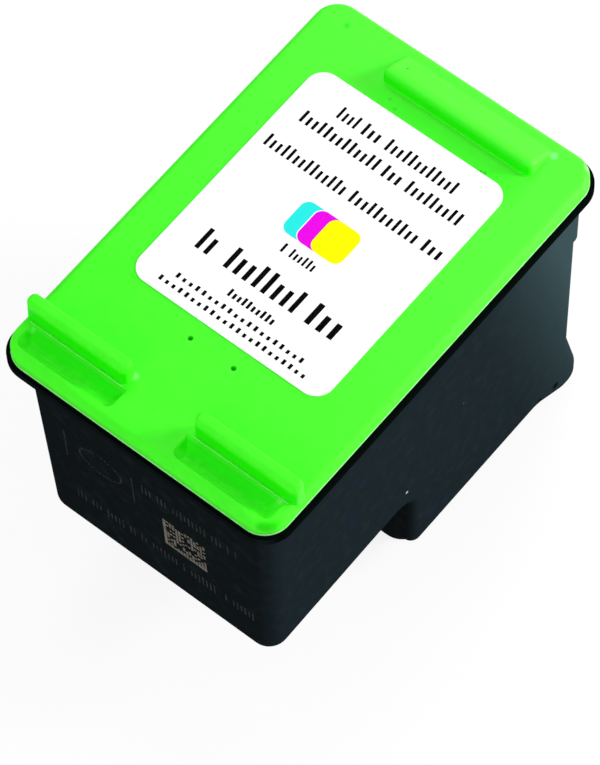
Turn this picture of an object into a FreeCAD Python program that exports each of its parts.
"""Tri-colour inkjet cartridge with a built-in print head.

Millimetres, +Z up, +X to the right, -Y at the front and +Y at the back, where
the electric contacts are. The origin is under the middle of the cartridge, at
the height of the head land, its lowest face. A setback is counted from the
front edge of the lid towards the back, and a depth from the seat of the lid
downwards.
"""
import FreeCAD, Part
import math
import os

V = FreeCAD.Vector

# Lid
lid_width = 34.2
lid_length = 52.3
lid_thickness = 1.9
lid_corner = 2.8
lid_edge = 0.8

# Latch ribs and finger pockets at the front of the lid
latch_length = 12.9
latch_base = 1.9
latch_lean = 0.22
latch_height = 2.9
latch_setback = 4.1
latch_round = 0.55
latch_end_round = 0.65
pocket_ledge = 0.25
pocket_reach = 2.75
pocket_valley = 2.05
pocket_depth = 1.15
pocket_round = 0.8
pocket_end_run = 1.3
pocket_corner = 1.0
pocket_margin = 1.1
pocket_overrun = 0.35

# Back rib of the lid
back_rib_length = 18.8
back_rib_offset = 2.8
back_rib_reach = 4.0
back_rib_margin = 1.5
back_rib_height = 2.4
back_rib_tail = 0.2
back_rib_round = 0.8
back_rib_end_round = 0.7

# Holes in the lid
vent_diameter = 0.6
vent_spacing = 5.46
vent_label_gap = 2.1
fill_hole_diameter = 2.6

# Flange of the body
rim_overhang = 0.5
rim_height = 0.9

# Outer walls of the body
side_inset = 1.5
front_inset = 1.12
side_draft = 0.023
front_draft = 0.014
front_depth = 30.05
floor_rise = 0.7
nose_front = 24.5
nose_depth = 41.3
nose_blend = 3.0
back_inset = 0.95
shoulder_reach = 0.6
shoulder_depth = 12.0
upright_round = 2.2
edge_round = 1.2

# Toe and head land
land_height = 2.7
land_front_inset = 0.7
land_side_inset = 1.4
land_corner = 2.6
toe_overhang = 1.85
toe_round = 1.8
toe_side = 3.6
toe_top_round = 4.0
toe_flat = 2.8
toe_slope = 4.6
toe_slope_round = 3.0
flare_height = 10.8

# Walls and chambers
wall = 1.5
partition = 1.4
floor = 1.6

# Stand pipes, filters and ink ducts
pipe_outer = 7.0
pipe_bore = 4.6
pipe_height = 5.0
front_pipe_gap = 0.6
filter_diameter = 6.2
filter_thickness = 0.15
duct_bore = 1.8
duct_cover = 1.0
duct_rise = 0.1

# Foams and the ribs of the lid that hold them down
foam_gap = 0.25
foam_top_depth = 2.6
plug_height = 1.2
plug_gap = 0.15
plug_wall = 1.0

# Print head
die_width = 8.0
die_length = 12.0
die_thickness = 0.65
die_gap = 0.3
slot_width = 0.9
slot_length = 9.0
slot_pitch = 2.2
slot_height = 1.2
glue_thickness = 0.15
nozzle_plate_thickness = 0.06
nozzle_plate_inset = 0.4
bead_width = 1.3
bead_height = 0.1

# Flex circuit and contacts
flex_width = 22.0
flex_thickness = 0.12
flex_recess = 0.25
flex_gap = 0.2
flex_shoulder_gap = 1.0
flex_die_margin = 1.4
pad_diameter = 1.5
pad_thickness = 0.04
pad_pitch = 2.4
pad_columns = 8
pad_rows = 4
pad_margin = 3.0

# Label and its print
label_width = 24.3
label_setback = 14.3
label_back_margin = 7.8
label_offset = -0.35
label_corner = 2.0
label_thickness = 0.1
print_thickness = 0.03
field_gap = 0.12
field_width_share = 0.158
field_length_share = 0.144
field_step_share = 0.071
field_shift_share = 0.012
field_corner = 1.0

# Length by which a cut runs past the face that it opens
cut_past = 1.0

# Lines and levels that follow from the sizes above
back_reach = lid_length - back_inset
toe_reach = back_reach + toe_overhang
back_end = max(toe_reach, lid_length + rim_overhang)
front = (rim_overhang - back_end) / 2
head_depth = nose_depth + land_height
seat = head_depth
lid_top = seat + lid_thickness
half_body = lid_width / 2 - side_inset
chamber_split = nose_front + wall
nose_floor = nose_depth - floor
flare_depth = head_depth - flare_height
toe_slope_end = toe_reach - toe_flat
toe_slope_start = toe_slope_end - toe_slope
land_front = nose_front + land_front_inset
die_setback = (land_front + toe_slope_end) / 2
flex_top_depth = shoulder_depth + flex_shoulder_gap
flex_front = die_setback - die_length / 2 - flex_die_margin
label_length = lid_length - label_setback - label_back_margin


def spot(setback, depth):
    """Point in the middle plane of the cartridge."""
    return V(0, front + setback, seat - depth)


def bottom_depth(setback):
    """Depth of the underside of the front half, which rises towards the nose."""
    share = (setback - front_inset) / (nose_front - front_inset)
    return front_depth - floor_rise * share


def box(x_low, x_high, setback_low, setback_high, depth_low, depth_high):
    """Block between two widths, two setbacks and two depths, the higher depth lower down."""
    corner = V(x_low, front + setback_low, seat - depth_high)
    return Part.makeBox(x_high - x_low, setback_high - setback_low, depth_high - depth_low, corner)


def round_plate(width, length, radius, low, height, middle_x, middle_y):
    """Upright plate with round corners in plan."""
    plate = Part.makeBox(width, length, height, V(middle_x - width / 2, middle_y - length / 2, low))
    uprights = [edge for edge in plate.Edges if abs(edge.BoundBox.ZLength - height) < 1e-6]
    return plate.makeFillet(radius, uprights)


def disc(diameter, low, height, x, setback):
    """Upright cylinder."""
    return Part.makeCylinder(diameter / 2, height, V(x, front + setback, low))


def corner_arc(before, point, after, radius):
    """Start, middle and end of the arc that rounds one corner."""
    to_before = (before - point).normalize()
    to_after = (after - point).normalize()
    half_angle = to_before.getAngle(to_after) / 2
    reach = radius / math.tan(half_angle)
    inwards = (to_before + to_after).normalize()
    middle = point + inwards * (radius / math.sin(half_angle) - radius)
    return [point + to_before * reach, middle, point + to_after * reach]


def outline(corners):
    """Closed face in the middle plane through (point, radius) corners."""
    count = len(corners)
    pieces = []
    for index, (point, radius) in enumerate(corners):
        if radius:
            pieces.append(corner_arc(corners[index - 1][0], point, corners[(index + 1) % count][0], radius))
        else:
            pieces.append([point])
    edges = []
    for index, piece in enumerate(pieces):
        if len(piece) == 3:
            edges.append(Part.Arc(*piece).toShape())
        following = pieces[(index + 1) % count][0]
        if following.distanceToPoint(piece[-1]) > 1e-6:
            edges.append(Part.LineSegment(piece[-1], following).toShape())
    return Part.Face(Part.Wire(edges))


def prism(corners, x_low, x_high):
    """Outline in the middle plane, pulled out along X."""
    face = outline(corners)
    face.translate(V(x_low, 0, 0))
    return face.extrude(V(x_high - x_low, 0, 0))


def shifted(path, distance):
    """Open path of (point, radius) corners, moved to its left by a distance."""
    moved = []
    for index, (point, radius) in enumerate(path):
        into = point - path[index - 1][0] if index else path[1][0] - point
        out = path[index + 1][0] - point if index < len(path) - 1 else into
        into_side = V(0, -into.z, into.y).normalize()
        out_side = V(0, -out.z, out.y).normalize()
        shift = (into_side + out_side) * (distance / (1 + into_side.dot(out_side)))
        turn = into.y * out.z - into.z * out.y
        new_radius = radius - distance if turn > 0 else radius + distance
        moved.append((point + shift, new_radius if radius else 0))
    return moved


def ribbon(path, low, high, x_low, x_high):
    """Band of constant thickness that follows a path."""
    return prism(shifted(path, high) + shifted(path, low)[::-1], x_low, x_high)


def side_wedge(half):
    """Block between two side planes that lean in towards the bottom; half is half its width at the seat."""
    top = seat + cut_past
    high = half + side_draft * cut_past
    low = half - side_draft * top
    corners = [V(-high, 0, top), V(high, 0, top), V(low, 0, seat - top), V(-low, 0, seat - top)]
    face = Part.Face(Part.makePolygon(corners + corners[:1]))
    face.translate(V(0, front - back_end, 0))
    return face.extrude(V(0, 3 * back_end, 0))


def joined(shapes):
    """Several solids fused into one, without left-over seams."""
    return shapes[0].fuse(shapes[1:]).removeSplitter()


# Body

def back_path(top_depth, front_setback):
    """Line down the back wall, round the toe and forwards under the head land."""
    return [
        (spot(back_reach, top_depth), 0),
        (spot(back_reach, flare_depth), nose_blend),
        (spot(toe_reach, head_depth - toe_side), toe_top_round),
        (spot(toe_reach, head_depth), toe_round),
        (spot(front_setback, head_depth), 0),
    ]


def side_outline():
    """Outline of the body seen from the side, without the shoulder."""
    front_bottom = front_inset + front_draft * front_depth
    back = back_path(0, toe_slope_end)[::-1]
    return [
        (spot(front_inset, 0), 0),
        (spot(front_bottom, front_depth), 0),
        (spot(nose_front, bottom_depth(nose_front)), nose_blend),
        (spot(nose_front, nose_depth), 0),
        (spot(toe_slope_start, nose_depth), toe_slope_round),
        (back[0][0], toe_slope_round),
    ] + back[1:]


def edge_near(shape, x, place):
    """Edge of a shape that passes closest to a point at this width."""
    probe = Part.Vertex(place + V(x, 0, 0))
    return min(shape.Edges, key=lambda edge: edge.distToShape(probe)[0])


def half_width(depth):
    """Half the width of the body at a depth."""
    return half_body - side_draft * depth


def outer_form():
    """Outer form of the tub with its round edges."""
    form = prism(side_outline(), -lid_width, lid_width).common(side_wedge(half_body))
    middle = front_depth / 2
    upright = spot(front_inset + front_draft * middle, middle)
    sides = (-half_width(middle), half_width(middle))
    form = form.makeFillet(upright_round, [edge_near(form, x, upright) for x in sides])
    front_line = spot(front_inset + front_draft * front_depth, front_depth)
    nose_line = spot(nose_front, nose_depth)
    side_line = spot((nose_front + toe_slope_start) / 2, nose_depth)
    low_edges = [edge_near(form, 0, front_line), edge_near(form, 0, nose_line)]
    low_edges += [edge_near(form, x, side_line) for x in (-half_width(nose_depth), half_width(nose_depth))]
    return form.makeFillet(edge_round, low_edges)


def shoulder():
    """Thicker band across the top of the back wall."""
    start = back_reach - 3 * edge_round
    band = box(-lid_width, lid_width, start, back_reach + shoulder_reach, 0, shoulder_depth)
    band = band.common(side_wedge(half_body))
    middle = spot(back_reach + shoulder_reach, shoulder_depth / 2)
    sides = (-half_width(shoulder_depth / 2), half_width(shoulder_depth / 2))
    return band.makeFillet(edge_round, [edge_near(band, x, middle) for x in sides])


def head_land():
    """Flat pad under the nose that carries the print head."""
    width = 2 * (half_width(nose_depth) - land_side_inset)
    length = toe_slope_end - land_front
    height = land_height + floor / 2
    return round_plate(width, length, land_corner, seat - head_depth, height, 0, front + die_setback)


def rim():
    """Flange at the top of the tub that the lid is welded to."""
    width = lid_width + 2 * rim_overhang
    length = lid_length + 2 * rim_overhang
    middle = front + lid_length / 2
    return round_plate(width, length, lid_corner + rim_overhang, seat - rim_height, rim_height, 0, middle)


def front_chamber(gap, top, bottom=nose_depth):
    """Space of the front chamber, less a gap on each wall, between two depths."""
    inset = front_inset + wall + gap
    back = chamber_split - partition - gap
    corners = [
        (spot(inset, top), 0),
        (spot(inset + front_draft * front_depth, bottom_depth(inset) - floor - gap), 0),
        (spot(back, bottom_depth(back) - floor - gap), 0),
        (spot(back, top), 0),
    ]
    space = prism(corners, -lid_width, lid_width).common(side_wedge(half_body - wall - gap))
    return space.common(box(-lid_width, lid_width, 0, back_end, top, bottom))


def back_chamber(side, gap, top, bottom=nose_depth):
    """Space of one back chamber; side is 1 for the right one and -1 for the left one."""
    near = partition / 2 + gap
    reach = lid_width
    low, high = (near, reach) if side > 0 else (-reach, -near)
    block = box(low, high, chamber_split + gap, back_reach - wall - gap, top, min(bottom, nose_floor - gap))
    return block.common(side_wedge(half_body - wall - gap))


def chamber(name, gap, top, bottom=nose_depth):
    """Space of the chamber that holds one ink."""
    if name == "magenta":
        return front_chamber(gap, top, bottom)
    return back_chamber(1 if name == "cyan" else -1, gap, top, bottom)


INKS = ("magenta", "cyan", "yellow")


def pipe_place(name):
    """Width and setback of the axis of one stand pipe."""
    if name == "magenta":
        return 0, chamber_split - partition - front_pipe_gap - pipe_outer / 2
    middle = (partition / 2 + half_width(nose_floor) - wall) / 2
    return (middle if name == "cyan" else -middle), (chamber_split + back_reach - wall) / 2


def pipe_foot(name):
    """Depth of the floor that one stand pipe stands on."""
    if name == "magenta":
        return bottom_depth(pipe_place(name)[1]) - floor
    return nose_floor


def pipe_top(name):
    """Depth of the rim of one stand pipe, where its filter lies."""
    return pipe_foot(name) - pipe_height


def slot_place(name):
    """Width of the axis of one ink slot in the head."""
    return {"magenta": 0, "cyan": slot_pitch, "yellow": -slot_pitch}[name]


plate_depth = head_depth - flex_recess + flex_thickness
die_depth = plate_depth - nozzle_plate_thickness
glue_depth = die_depth - die_thickness
pocket_top = glue_depth - glue_thickness
slot_top = pocket_top - slot_height


def tube(start, end, diameter):
    """Round bar from one point to another."""
    way = end - start
    return Part.makeCylinder(diameter / 2, way.Length, start, way)


def duct_knee():
    """Point where the duct of the front chamber turns down towards the head."""
    return spot(chamber_split + wall, pipe_foot("magenta") - duct_bore / 2 - duct_rise)


def duct_walls(gap):
    """Material around the duct of the front chamber, grown by a gap."""
    knee = duct_knee()
    start = V(0, front + pipe_place("magenta")[1], knee.z)
    cover = duct_bore / 2 + duct_cover + gap
    end = spot(die_setback, nose_floor)
    rise = V(0, 0, cover)
    low = spot(pipe_place("magenta")[1], nose_floor + floor / 2)
    corners = [
        (start + rise, 0),
        (knee + rise, 0),
        (end + rise + V(0, cover, 0), 0),
        (V(0, end.y + cover, low.z), 0),
        (low, 0),
    ]
    return prism(corners, -cover, cover)


def ink_ways(name):
    """Bore of one stand pipe, its duct and its slot above the die."""
    x, setback = pipe_place(name)
    foot = pipe_foot(name)
    slot_x = slot_place(name)
    slot_mouth = spot(die_setback, slot_top) + V(slot_x, 0, 0)
    slot = box(slot_x - slot_width / 2, slot_x + slot_width / 2, die_setback - slot_length / 2,
               die_setback + slot_length / 2, slot_top, pocket_top)
    if name == "magenta":
        knee = duct_knee()
        start = V(0, front + setback, knee.z)
        bore = disc(pipe_bore, seat - foot, pipe_height + cut_past, x, setback)
        ducts = [tube(start, knee, duct_bore), tube(knee, slot_mouth, duct_bore)]
        ball = Part.makeSphere(duct_bore / 2, knee)
        return [bore, slot, ball] + ducts
    bore = disc(pipe_bore, seat - foot - duct_bore / 2, pipe_height + duct_bore, x, setback)
    start = V(x, front + setback, seat - foot)
    return [bore, slot, tube(start, slot_mouth, duct_bore)]


def body():
    """Moulded tub with its partitions, stand pipes and ducts."""
    solid = joined([outer_form(), shoulder(), head_land(), rim()])
    for name in INKS:
        solid = solid.cut(chamber(name, 0, -cut_past))
    inner = joined([chamber(name, -wall / 2, 0) for name in INKS])
    pipes = []
    for name in INKS:
        x, setback = pipe_place(name)
        height = pipe_height + floor / 2
        pipes.append(disc(pipe_outer, seat - pipe_foot(name) - floor / 2, height, x, setback))
    solid = joined([solid, duct_walls(0).common(inner)] + pipes)
    pocket = box(-die_width / 2 - die_gap, die_width / 2 + die_gap, die_setback - die_length / 2 - die_gap,
                 die_setback + die_length / 2 + die_gap, pocket_top, head_depth + cut_past)
    recess = ribbon(back_path(flex_top_depth - flex_gap, flex_front - flex_gap), -flex_recess, cut_past,
                    -flex_width / 2 - flex_gap, flex_width / 2 + flex_gap)
    cuts = [pocket, recess]
    for name in INKS:
        cuts += ink_ways(name)
    return solid.cut(cuts)


# Lid

def latch(side):
    """One latch rib; side is 1 at the right and -1 at the left."""
    back = latch_setback + latch_base
    corners = [
        (spot(latch_setback, -lid_edge), 0),
        (spot(latch_setback + latch_lean, -lid_thickness - latch_height), 0),
        (spot(back - latch_lean, -lid_thickness - latch_height), 0),
        (spot(back, -lid_edge), 0),
    ]
    outer = lid_width / 2
    low, high = (outer - latch_length, outer) if side > 0 else (-outer, latch_length - outer)
    rib = prism(corners, low, high)
    ends = [edge for edge in rib.Edges if edge.BoundBox.ZLength > latch_height]
    rib = rib.makeFillet(latch_end_round, ends)
    top = [edge for edge in rib.Edges if edge.BoundBox.ZMin > lid_top + latch_height - latch_round]
    return rib.makeFillet(latch_round, top)


def finger_pocket(side):
    """Hollow in front of one latch rib: a ramp down from the rib, a round valley and sloping ends."""
    back = latch_setback - pocket_ledge
    ramp = [
        (spot(back, -lid_thickness), 0),
        (spot(back, -lid_thickness - pocket_depth), 0),
        (spot(back - pocket_reach, -lid_thickness - pocket_depth), 0),
        (spot(back - pocket_reach, -lid_thickness), 0),
        (spot(back - pocket_valley, pocket_depth - lid_thickness), pocket_round),
    ]
    outer = lid_width / 2 - pocket_margin
    inner = lid_width / 2 - latch_length - pocket_overrun
    low, high = (inner, outer) if side > 0 else (-outer, -inner)
    ends = [
        (V(low - pocket_end_run, 0, lid_top + pocket_depth), 0),
        (V(low + pocket_end_run, 0, lid_top - pocket_depth), pocket_round),
        (V(high - pocket_end_run, 0, lid_top - pocket_depth), pocket_round),
        (V(high + pocket_end_run, 0, lid_top + pocket_depth), 0),
    ]
    slopes = outline(ends)
    slopes.translate(V(0, front, 0))
    slopes = slopes.extrude(V(0, latch_setback, 0))
    foot = lid_top - 2 * pocket_depth
    size = (high - low, 2 * pocket_reach, pocket_corner)
    plan = round_plate(*size, foot, 4 * pocket_depth, (low + high) / 2, front + back)
    return prism(ramp, low, high).common(slopes).common(plan)


def back_rib():
    """Rib near the back edge, highest at its front face."""
    back = lid_length - back_rib_margin
    face = back - back_rib_reach
    corners = [
        (spot(face, -lid_edge), 0),
        (spot(face + latch_lean, -lid_thickness - back_rib_height), back_rib_round),
        (spot(back, -lid_thickness - back_rib_tail), 0),
        (spot(back, -lid_edge), 0),
    ]
    half = back_rib_length / 2
    rib = prism(corners, back_rib_offset - half, back_rib_offset + half)
    front_end = spot(face + latch_lean, 0).y
    ends = [edge for edge in rib.Edges if edge.BoundBox.XLength < 1e-6]
    uprights = [edge for edge in ends if edge.BoundBox.YMax < front_end]
    return rib.makeFillet(back_rib_end_round, uprights)


def plug(name):
    """Ring and bars under the lid that reach into one chamber."""
    ring = chamber(name, plug_gap, 0, plug_height)
    inside = chamber(name, plug_gap + plug_wall, -cut_past)
    span = inside.BoundBox
    bars = []
    for share in (1 / 3, 2 / 3):
        start = span.YMin + share * span.YLength - plug_wall / 2 - front
        bar = box(span.XMin, span.XMax, start, start + plug_wall, 0, foam_top_depth)
        bars.append(bar.common(chamber(name, plug_gap, 0)))
    return [ring.cut(inside)] + bars


def fill_place(name):
    """Width and setback of the hole that one chamber is filled through."""
    span = chamber(name, 0, 0).BoundBox
    share = 5 / 6 if name == "magenta" else 1 / 2
    return (span.XMin + span.XMax) / 2, span.YMin - front + share * span.YLength


def lid():
    """Green cover with its ribs, pockets and holes."""
    plate = round_plate(lid_width, lid_length, lid_corner, seat, lid_thickness, 0, front + lid_length / 2)
    top_edges = [edge for edge in plate.Edges if edge.BoundBox.ZMin > lid_top - 1e-6]
    plate = plate.makeFillet(lid_edge, top_edges)
    parts = [plate, latch(-1), latch(1), back_rib()]
    for name in INKS:
        parts += plug(name)
    solid = joined(parts)
    holes = [finger_pocket(-1), finger_pocket(1)]
    low = seat - foam_top_depth
    height = lid_top + cut_past - low
    for x in (-vent_spacing / 2, vent_spacing / 2):
        holes.append(disc(vent_diameter, low, height, x, label_setback - vent_label_gap))
    for name in INKS:
        x, setback = fill_place(name)
        holes.append(disc(fill_hole_diameter, low, height, x, setback))
    return solid.cut(holes)


# Inside

def foam(name):
    """Ink sponge of one chamber, pressed over its stand pipe."""
    block = chamber(name, foam_gap, foam_top_depth)
    x, setback = pipe_place(name)
    top = seat - pipe_top(name) + filter_thickness
    cuts = [disc(pipe_outer + 2 * foam_gap, 0, top, x, setback), duct_walls(foam_gap)]
    return block.cut(cuts)


def filter_disc(name):
    """Mesh disc that lies on the rim of one stand pipe."""
    x, setback = pipe_place(name)
    return disc(filter_diameter, seat - pipe_top(name), filter_thickness, x, setback)


# Print head

def slotted(width, length, low, height):
    """Plate in the middle of the head land with the ink slots through it."""
    plate = Part.makeBox(width, length, height, V(-width / 2, front + die_setback - length / 2, low))
    slots = []
    for name in INKS:
        x = slot_place(name)
        slots.append(box(x - slot_width / 2, x + slot_width / 2, die_setback - slot_length / 2,
                         die_setback + slot_length / 2, 0, head_depth + cut_past))
    return plate.cut(slots)


def printhead_die():
    """Silicon chip that fires the ink."""
    return slotted(die_width, die_length, seat - die_depth, die_thickness)


def die_adhesive():
    """Glue between the die and the floor of its pocket."""
    return slotted(die_width, die_length, seat - glue_depth, glue_thickness)


def nozzle_plate():
    """Metal plate with the nozzles, on the face of the die."""
    width = die_width - 2 * nozzle_plate_inset
    length = die_length - 2 * nozzle_plate_inset
    corner = V(-width / 2, front + die_setback - length / 2, seat - plate_depth)
    return Part.makeBox(width, length, nozzle_plate_thickness, corner)


def flex_circuit():
    """Tape from the back wall round the toe to the die, with a window for it."""
    path = back_path(flex_top_depth, flex_front)
    tape = ribbon(path, -flex_recess, flex_thickness - flex_recess, -flex_width / 2, flex_width / 2)
    margin = die_gap + flex_gap
    window = box(-die_width / 2 - margin, die_width / 2 + margin, die_setback - die_length / 2 - margin,
                 die_setback + die_length / 2 + margin, nose_depth, head_depth + cut_past)
    return tape.cut(window)


def contact_pads():
    """Rows of gold pads on the tape at the back wall."""
    surface = front + back_reach - flex_recess + flex_thickness
    pads = []
    for column in range(pad_columns):
        x = (column - (pad_columns - 1) / 2) * pad_pitch
        for row in range(pad_rows):
            z = seat - flex_top_depth - pad_margin - row * pad_pitch
            pads.append(Part.makeCylinder(pad_diameter / 2, pad_thickness, V(x, surface, z), V(0, 1, 0)))
    return Part.makeCompound(pads)


def encapsulant_beads():
    """Beads over the bonds at the front and the back end of the die."""
    beads = []
    for end in (-1, 1):
        middle = die_setback + end * (die_length / 2 + die_gap + flex_gap)
        bead = box(-die_width / 2, die_width / 2, middle - bead_width / 2, middle + bead_width / 2,
                   plate_depth, plate_depth + bead_height)
        beads.append(bead)
    return Part.makeCompound(beads)


# Label

def label():
    """Paper label on the lid."""
    x, setback = label_spot(0, 1 / 2)
    plate = (label_width, label_length, label_corner)
    return round_plate(*plate, lid_top, label_thickness, x, front + setback)


def label_spot(across, along):
    """Width and setback of a point of the label, from shares of its width and its length."""
    return label_offset + across * label_width, label_setback + along * label_length


def colour_field(index, margin):
    """One colour field on the label, grown by a margin."""
    across = field_shift_share + (index - 1) * field_step_share
    x, setback = label_spot(across, FIELD_SHARE)
    low = lid_top + label_thickness
    width = field_width_share * label_width + 2 * margin
    length = field_length_share * label_length + 2 * margin
    return round_plate(width, length, field_corner + margin, low, print_thickness, x, front + setback)


def colour_fields():
    """Three overlapping fields; each one shows only where the next one leaves it free."""
    return {
        "cyan": colour_field(0, 0).cut(colour_field(1, field_gap)),
        "magenta": colour_field(1, 0).cut(colour_field(2, 0)),
        "yellow": colour_field(2, 0),
    }


# Rows of print, back to front. A row has its foot and its height as shares of the length of the label,
# its number of strokes per width of the label, the share of a stroke that is ink, and the two ends of
# each word as shares of the width of the label, counted from its middle
PRINT_ROWS = (
    (0.874, 0.050, 32, 0.42, ((-0.300, -0.189), (-0.173, -0.074), (-0.049, 0.321))),
    (0.788, 0.050, 32, 0.42, ((-0.412, 0.000), (0.016, 0.119), (0.140, 0.428))),
    (0.646, 0.050, 32, 0.42, ((-0.457, -0.033), (-0.012, 0.342), (0.362, 0.469))),
    (0.361, 0.036, 44, 0.45, ((-0.078, -0.053), (-0.033, 0.099))),
    (0.202, 0.089, 20, 0.45, ((-0.370, -0.280), (-0.222, 0.165), (0.198, 0.370))),
    (0.126, 0.030, 40, 0.50, ((-0.115, 0.128),)),
    (0.076, 0.020, 30, 0.40, ((-0.337, 0.337),)),
    (0.036, 0.020, 30, 0.40, ((-0.387, 0.387),)),
)
SHORT_SHARE = 0.72
FIELD_SHARE = 0.499


def label_bars():
    """Plain blocks in the places of the printed letters, tall and short ones in turn."""
    bars = []
    for foot, height, strokes, ink, words in PRINT_ROWS:
        for low, high in words:
            count = max(1, round((high - low) * strokes))
            step = (high - low) / count
            for index in range(count):
                tall = index % 4 in (0, 3)
                x, setback = label_spot(low + step * (index + (1 - ink) / 2), foot)
                length = height * label_length * (1 if tall else SHORT_SHARE)
                corner = V(x, front + setback, lid_top + label_thickness)
                bars.append(Part.makeBox(step * ink * label_width, length, print_thickness, corner))
    return Part.makeCompound(bars)


def write_parts():
    """Write one file for each piece."""
    pieces = {"body": body(), "lid": lid(), "label": label(), "label_bars": label_bars()}
    for name, field in colour_fields().items():
        pieces["colour_" + name] = field
    for name in INKS:
        pieces["foam_" + name] = foam(name)
        pieces["filter_" + name] = filter_disc(name)
    pieces["printhead_die"] = printhead_die()
    pieces["die_adhesive"] = die_adhesive()
    pieces["nozzle_plate"] = nozzle_plate()
    pieces["flex_circuit"] = flex_circuit()
    pieces["contact_pads"] = contact_pads()
    pieces["encapsulant_beads"] = encapsulant_beads()
    os.makedirs("parts", exist_ok=True)
    for name, shape in pieces.items():
        print(name, len(shape.Solids), shape.isValid(), round(shape.Volume, 2))
        shape.exportStep("parts/" + name + ".step")


write_parts()
